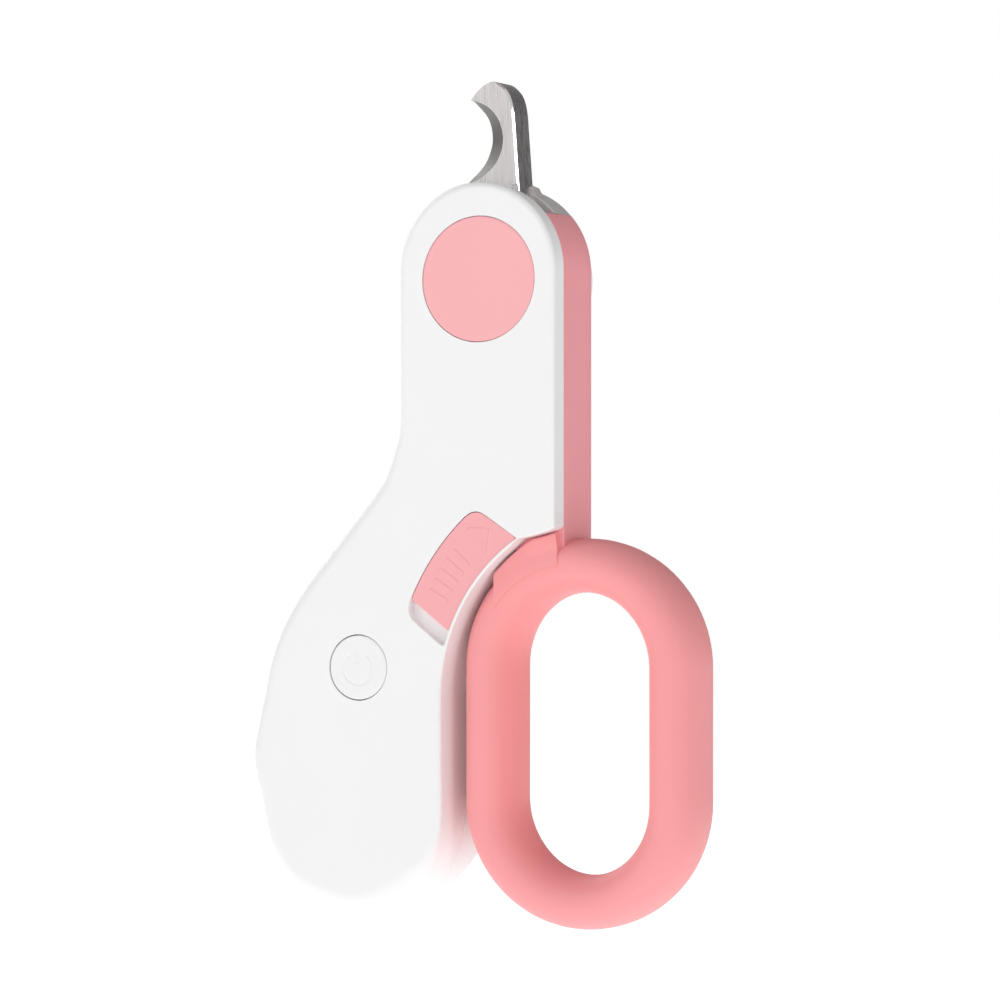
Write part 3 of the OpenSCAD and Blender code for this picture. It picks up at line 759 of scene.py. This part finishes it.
def blade_outline(stem_x):
    """Blade without its notch, anticlockwise, and the chamfer of its front edge at each point."""
    right = [(stem_x + 2, 6), (stem_x + 0.2, 11.7), (5.1, 12.3), (4.95, 14.1)]
    top = smooth([(4.85, 16), (4.4, 21.4), (4.15, 24.4), (3.6, 26.6), (2.6, 28), (1.2, TIP_Z - 0.05),
                  (-0.3, 28.6), (-1.5, 27.8), (-2.35, 26.95), (-2.75, 26.3), (-2.7, 25.6)], 6)
    foot = [(-3, 25.4), (-3.9, 14.8), (-5, 14), (-7, 12.2), (-8.2, 9), (-7, 2)]
    points = right + top + foot
    bright = len(right) + 24
    return points, [STRIP] * bright + [FINE_CHAMFER] * (len(points) - bright)


def notch_cutter(y0, y1, front):
    """Hollow-ground notch through a blade, from its outer face to its mating face."""
    over = 0.2
    outer_face, edge_face = (y0, y1) if front else (y1, y0)
    beyond = (edge_face - outer_face) * over
    outer, edge = smooth(NOTCH_OUTER, 8), smooth(NOTCH_EDGE, 8)
    rings = []
    for share, y in ((-over, outer_face - beyond), (1 + over, edge_face + beyond)):
        curve = [(a[0] + (b[0] - a[0]) * share, a[1] + (b[1] - a[1]) * share) for a, b in zip(outer, edge)]
        rings.append([(x, y, z) for x, z in curve + [(-12, 11), (-12, 28.5)]])
    return loft("grinding", rings)


def make_blade(name, node, stem_x, body, front):
    """Brushed blade with a hollow-ground notch; the front one has a polished strip down its straight edge."""
    y0 = box_mm(node)[0][1]
    y1 = y0 + BLADE_T
    points, radii = blade_outline(stem_x)
    blade = solid(name, points, y0, y1, radii if front else 0, 0, steps=1, guard=0)
    cut(blade, solid("disc", circle(0, 0, 9.4, 96), y0 + 0.001, y1 - 0.001), operation="UNION")
    cut(blade, notch_cutter(y0, y1, front), solid("bore", circle(0, 0, 2.55, 64), y0 - 1, y1 + 1))
    place(shade(blade, 20), BLADE, body, "blade_steel", node)
    polish(blade, front)


def polish(blade, front):
    """Gives the ground notch and the strip of the straight edge their own finish."""
    blade.data.materials.append(GROUND)
    blade.data.materials.append(POLISHED)
    for p in blade.data.polygons:
        x, _, z = p.center / MM
        if not 0.1 < abs(p.normal.y) < 0.97:
            continue
        if x > 2.7:
            p.material_index = 2 if front else 0
        elif 10 < z < 26.6:
            p.material_index = 1


def make_heel():
    """Steel heel of the moving blade, which fills the top of the lever, with a fillet up to the blade."""
    fillet = [(6, 9), (8.5, 9), (7.7, 10.9), (6.2, 12), (5.3, 13.6), (4.4, 14), (4.4, 9)]
    heel = solid("moving_blade_heel", circle(ARCH_X, ARCH_Z, ARCH_R - 0.03, 160), HUB_FRONT - 1, BACK,
                 0.15, ARM_EDGE_R, steps=8)
    cut(heel, solid("fillet", fillet, HUB_FRONT - 0.9, HUB_FRONT + 1.6, 0.1, 0.1), operation="UNION")
    cut(heel, solid("corner", rectangle(HEEL_X + 0.02, HEEL_Z + 0.02, 20, 20), HUB_FRONT - 3, BACK + 2),
        operation="INTERSECT")
    cut(heel, solid("cap_recess", circle(0, 0, REAR_RECESS_R), BACK - REAR_RECESS_T, BACK + 1.2))
    soften(heel, 0.08, 1)
    return place(shade(heel), HEEL, "lever", "blade_steel")


# ---------------------------------------------------------------- carried-over parts

def finish_cad_parts():
    """Materials of the CAD parts that stay as they are."""
    finishes = {
        STEEL: ["pivot_bolt", "pivot_nut", "pivot_washer", "fixed_blade_pins", "moving_blade_pins",
                "spring_post", "door_screw", "case_screws"],
        BRASS: ["pivot_bush"],
        SPRING: ["return_spring"],
        BLACK: ["slider_clip", "tact_switch", "resistor"],
        board_material(): ["circuit_board"],
        LED: ["led"],
        LEAD_RED: ["led_leads"],
        CELL: ["button_cells"],
        CONTACT: ["battery_contacts"]}
    for material, nodes in finishes.items():
        for node in nodes:
            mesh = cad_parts[node].data
            if not mesh.materials:
                mesh.materials.append(material)
            for k in range(len(mesh.materials)):
                mesh.materials[k] = material


# ---------------------------------------------------------------- scene

def make_camera():
    """Camera a little to the loop's side of straight in front, level with the middle of the clipper."""
    target = Vector((-0.478, MID, -32.09)) * MM
    azimuth = math.radians(27)
    distance = 0.56
    data = bpy.data.cameras.new("camera")
    data.sensor_width = 36
    data.lens = 137.1
    data.clip_start = 0.01
    data.clip_end = 20
    camera = bpy.data.objects.new("camera", data)
    toward = Vector((math.sin(azimuth), -math.cos(azimuth), 0))
    camera.location = target + toward * distance
    camera.rotation_mode = "QUATERNION"
    camera.rotation_quaternion = (-toward).to_track_quat("-Z", "Y")
    bpy.context.scene.collection.objects.link(camera)
    bpy.context.scene.camera = camera


def area_light(name, place_at, size, watts, aim=(0, -0.008, -0.035)):
    data = bpy.data.lights.new(name, "AREA")
    data.shape = "RECTANGLE"
    data.size, data.size_y = size
    data.energy = watts
    light = bpy.data.objects.new(name, data)
    light.location = place_at
    direction = Vector(aim) - Vector(place_at)
    light.rotation_mode = "QUATERNION"
    light.rotation_quaternion = direction.to_track_quat("-Z", "Y")
    bpy.context.scene.collection.objects.link(light)


def studio_world():
    """White room that is darker low behind the loop's side; the backdrop the camera sees is white."""
    world = bpy.data.worlds.new("studio")
    world.use_nodes = True
    nodes, links = world.node_tree.nodes, world.node_tree.links
    room = nodes["Background"]
    direction = nodes.new("ShaderNodeTexCoord")
    toward_dark = nodes.new("ShaderNodeVectorMath")
    toward_dark.operation = "DOT_PRODUCT"
    toward_dark.inputs[1].default_value = DARK_SIDE
    fall = nodes.new("ShaderNodeMapRange")
    fall.interpolation_type = "SMOOTHSTEP"
    fall.inputs["From Min"].default_value = 0.0
    fall.inputs["From Max"].default_value = 0.85
    fall.inputs["To Min"].default_value = ROOM_LIGHT
    fall.inputs["To Max"].default_value = DARK_LIGHT
    links.new(direction.outputs["Generated"], toward_dark.inputs[0])
    links.new(toward_dark.outputs["Value"], fall.inputs["Value"])
    links.new(fall.outputs["Result"], room.inputs["Strength"])
    backdrop = nodes.new("ShaderNodeBackground")
    backdrop.inputs["Strength"].default_value = 1.0
    seen = nodes.new("ShaderNodeLightPath")
    mix = nodes.new("ShaderNodeMixShader")
    room.inputs["Color"].default_value = (1, 1, 1, 1)
    backdrop.inputs["Color"].default_value = (1, 1, 1, 1)
    links.new(seen.outputs["Is Camera Ray"], mix.inputs["Fac"])
    links.new(room.outputs["Background"], mix.inputs[1])
    links.new(backdrop.outputs["Background"], mix.inputs[2])
    links.new(mix.outputs["Shader"], nodes["World Output"].inputs["Surface"])
    bpy.context.scene.world = world


DARK_SIDE = (0.5, 0.86, -0.1)
ROOM_LIGHT = 0.52
DARK_LIGHT = 0.15


def make_floor():
    bm = bmesh.new()
    bmesh.ops.create_grid(bm, x_segments=8, y_segments=8, size=6)
    floor = new_object("floor", bm)
    floor.location.z = cad_box[0].z - 0.08
    pale = plastic("pale_floor", (0.95, 0.95, 0.95), 0.8, spread=0.01, Emission_Strength=0.6)
    pale.node_tree.nodes["Principled BSDF"].inputs["Emission Color"].default_value = (1, 1, 1, 1)
    floor.data.materials.append(pale)


def make_studio():
    """Broad key light from the front left, a strip on the loop's side, and a soft light behind."""
    studio_world()
    area_light("key", (-0.75, -1.15, 0.65), (0.8, 0.8), 3.3)
    area_light("strip", (1.15, -0.6, 0.05), (0.16, 0.7), 1.9)
    area_light("behind", (-1.2, 0.7, 0.7), (0.8, 0.8), 4)
    make_floor()
    bpy.context.scene.view_settings.view_transform = "Standard"


make_camera()
make_studio()
make_front_shell()
make_rear_shell()
make_pivot_cap()
make_button()
make_door()
make_lens()
make_slider()
make_loop()
make_arm()
make_web()
make_rear_cap()
make_blade("fixed_blade_ground", "fixed_blade", 4, "handle", True)
make_blade("moving_blade_ground", "moving_blade", 5, "lever", False)
make_heel()
finish_cad_parts()
